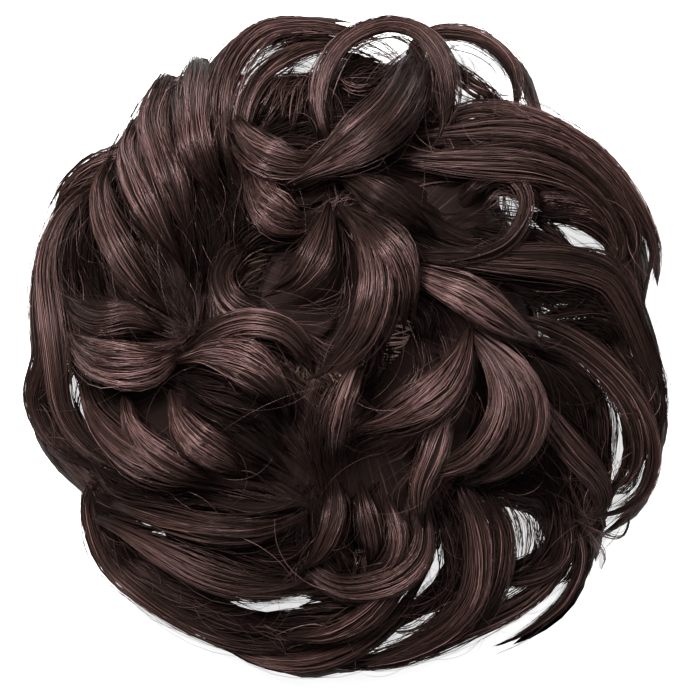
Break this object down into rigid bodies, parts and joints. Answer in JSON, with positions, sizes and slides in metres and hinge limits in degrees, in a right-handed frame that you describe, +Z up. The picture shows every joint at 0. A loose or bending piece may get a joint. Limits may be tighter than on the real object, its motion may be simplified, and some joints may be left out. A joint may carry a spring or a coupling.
{
  "type": "top knot hairpiece",
  "caption": "Curled messy bun hairpiece on an elastic loop, worn round the wearer's own bun or ponytail.",
  "frame": {"origin": "on the surface that the hairpiece lies on, below the middle of its outline", "axes": "+Z up out of the curls, +X to the right and +Y up the hairpiece as it is seen from above"},
  "size_m": [0.1507, 0.1503, 0.0507],
  "materials": {
    "elastic_band": "woven elastic",
    "weft_wrap": "stitched weft",
    "lower_locks": "silky fibre",
    "curled_locks": "silky fibre"
  },
  "bodies": {
    "root": {"elastic_band": "elastic_band", "weft_wrap": "weft_wrap", "lower_locks": "lower_locks", "curled_locks": "curled_locks"}
  },
  "joints": []
}
